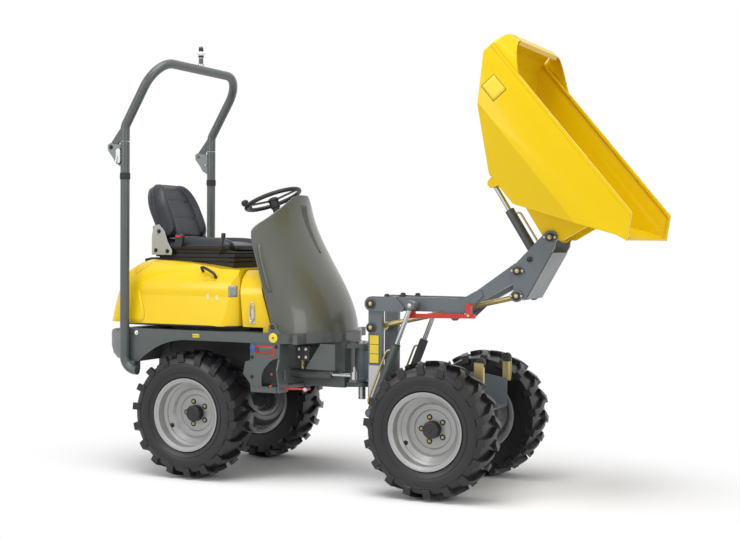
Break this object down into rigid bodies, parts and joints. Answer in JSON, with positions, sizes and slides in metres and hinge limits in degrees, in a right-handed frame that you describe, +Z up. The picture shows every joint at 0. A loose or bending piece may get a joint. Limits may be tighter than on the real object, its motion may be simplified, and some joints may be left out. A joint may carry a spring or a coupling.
{
  "type": "high-tip site dumper",
  "caption": "Centre-pivot site dumper with a lugged tyre at each corner, a folding roll hoop, and a skip that lift arms raise and a cylinder tips forward.",
  "frame": {"origin": "on the ground under the middle of the machine's length and width, skip half tipped", "axes": "+X forward, +Y to the operator's left, +Z up"},
  "size_m": [3.2717, 1.128, 2.6359],
  "materials": {
    "yellow_paint": "satin",
    "yellow_moulding": "satin",
    "grey_moulding": "satin",
    "frame_paint": "satin",
    "silver_paint": "satin",
    "red_paint": "satin",
    "gold_zinc": "satin",
    "bare_steel": "satin",
    "chrome_rod": "polished",
    "cast_weight": "matt",
    "tyre_rubber": "matt",
    "black_rubber": "matt",
    "black_plastic": "matt",
    "seat_vinyl": "matt",
    "engine_block": "matt"
  },
  "bodies": {
    "rear_frame": {"rear_chassis": "frame_paint", "articulation_pin": "bare_steel", "floor_plate": "frame_paint", "counterweight": "cast_weight", "engine": "engine_block", "steps": "frame_paint", "rear_axle": "frame_paint", "front_cover": "yellow_moulding", "control_cowl": "grey_moulding", "steering_column": "black_plastic", "rops_posts": "frame_paint"},
    "front_frame": {"front_chassis": "frame_paint", "front_axle": "frame_paint", "skip_rests": "gold_zinc", "rest_buffers": "black_rubber"},
    "steering_wheel": {"steering_wheel": "black_plastic"},
    "hood": {"hood": "yellow_moulding", "seat_base": "black_rubber", "seat_cushion": "seat_vinyl", "seat_back": "seat_vinyl"},
    "rops": {"rops_hoop": "frame_paint", "beacon_spigot": "bare_steel"},
    "arms": {"lift_arms": "frame_paint", "safety_prop": "red_paint"},
    "head": {"tipping_head": "frame_paint"},
    "tie_rods": {"tie_rods": "gold_zinc"},
    "skip": {"skip": "yellow_paint"},
    "lift_barrels": {"lift_barrels": "frame_paint"},
    "lift_rods": {"lift_rods": "chrome_rod"},
    "tip_barrel": {"tip_barrel": "frame_paint"},
    "tip_rod": {"tip_rod": "chrome_rod"},
    "steer_barrel": {"steer_barrel": "frame_paint"},
    "steer_rod": {"steer_rod": "chrome_rod"},
    "front_left_wheel": {"front_left_tyre": "tyre_rubber", "front_left_rim": "silver_paint"},
    "front_right_wheel": {"front_right_tyre": "tyre_rubber", "front_right_rim": "silver_paint"},
    "rear_left_wheel": {"rear_left_tyre": "tyre_rubber", "rear_left_rim": "silver_paint"},
    "rear_right_wheel": {"rear_right_tyre": "tyre_rubber", "rear_right_rim": "silver_paint"}
  },
  "joints": [
    {"name": "steer", "type": "hinge", "parent": "rear_frame", "child": "front_frame", "pos_m": [-0.098, 0, 0.65], "axis": [0, 0, 1], "range_deg": [-33, 33]},
    {"name": "lift", "type": "hinge", "parent": "front_frame", "child": "arms", "pos_m": [0.027, 0, 1.05], "axis": [0, -1, 0], "range_deg": [-43, 35]},
    {"name": "head_turn", "type": "hinge", "parent": "arms", "child": "head", "pos_m": [0.924, 0, 1.256], "axis": [0, -1, 0], "range_deg": [-36, 44]},
    {"name": "tie_turn", "type": "hinge", "parent": "front_frame", "child": "tie_rods", "pos_m": [0.023, 0, 0.91], "axis": [0, -1, 0], "range_deg": [-44, 36]},
    {"name": "tilt", "type": "hinge", "parent": "head", "child": "skip", "pos_m": [1.11, 0, 1.444], "axis": [0, 1, 0], "range_deg": [-50, 35]},
    {"name": "lift_barrel_turn", "type": "hinge", "parent": "front_frame", "child": "lift_barrels", "pos_m": [0.057, 0, 0.42], "axis": [0, -1, 0], "range_deg": [-4.7, 3.9]},
    {"name": "lift_rod_slide", "type": "slide", "parent": "lift_barrels", "child": "lift_rods", "axis": [0.3668, 0, 0.9303], "range_m": [-0.197, 0.161]},
    {"name": "tip_barrel_turn", "type": "hinge", "parent": "head", "child": "tip_barrel", "pos_m": [0.994, 0, 1.321], "axis": [0, 1, 0], "range_deg": [-50.5, 35.7]},
    {"name": "tip_rod_slide", "type": "slide", "parent": "tip_barrel", "child": "tip_rod", "axis": [-0.5318, 0, 0.8469], "range_m": [-0.143, 0.101]},
    {"name": "steer_barrel_turn", "type": "hinge", "parent": "rear_frame", "child": "steer_barrel", "pos_m": [-0.498, -0.175, 0.627], "axis": [0, 0, 1], "range_deg": [-1.5, 1.5]},
    {"name": "steer_rod_slide", "type": "slide", "parent": "steer_barrel", "child": "steer_rod", "axis": [0.9994, 0.0354, 0], "range_m": [-0.093, 0.093]},
    {"name": "hood_turn", "type": "hinge", "parent": "rear_frame", "child": "hood", "pos_m": [-1.59, 0, 0.886], "axis": [0, -1, 0], "range_deg": [0, 45]},
    {"name": "rops_fold", "type": "hinge", "parent": "rear_frame", "child": "rops", "pos_m": [-1.554, 0, 1.976], "axis": [0, 1, 0], "range_deg": [-150, 0]},
    {"name": "steering_wheel_turn", "type": "hinge", "parent": "rear_frame", "child": "steering_wheel", "pos_m": [-0.714, 0, 1.668], "axis": [-0.3746, 0, 0.9272], "continuous": true},
    {"name": "front_left_roll", "type": "hinge", "parent": "front_frame", "child": "front_left_wheel", "pos_m": [0.532, 0.432, 0.38], "axis": [0, 1, 0], "continuous": true},
    {"name": "front_right_roll", "type": "hinge", "parent": "front_frame", "child": "front_right_wheel", "pos_m": [0.532, -0.432, 0.38], "axis": [0, 1, 0], "continuous": true},
    {"name": "rear_left_roll", "type": "hinge", "parent": "rear_frame", "child": "rear_left_wheel", "pos_m": [-0.998, 0.432, 0.38], "axis": [0, 1, 0], "continuous": true},
    {"name": "rear_right_roll", "type": "hinge", "parent": "rear_frame", "child": "rear_right_wheel", "pos_m": [-0.998, -0.432, 0.38], "axis": [0, 1, 0], "continuous": true}
  ],
  "couplings": [
    {"joint": "head_turn", "follows": "lift", "ratio": -1},
    {"joint": "tie_turn", "follows": "lift", "ratio": 1},
    {"joint": "lift_barrel_turn", "follows": "lift", "ratio": 0.0983},
    {"joint": "lift_rod_slide", "follows": "lift", "m_per_rad": 0.2585},
    {"joint": "tip_barrel_turn", "follows": "tilt", "ratio": 0.9901},
    {"joint": "tip_rod_slide", "follows": "tilt", "m_per_rad": 0.1608},
    {"joint": "steer_barrel_turn", "follows": "steer", "ratio": 0.0288},
    {"joint": "steer_rod_slide", "follows": "steer", "m_per_rad": 0.1559}
  ]
}
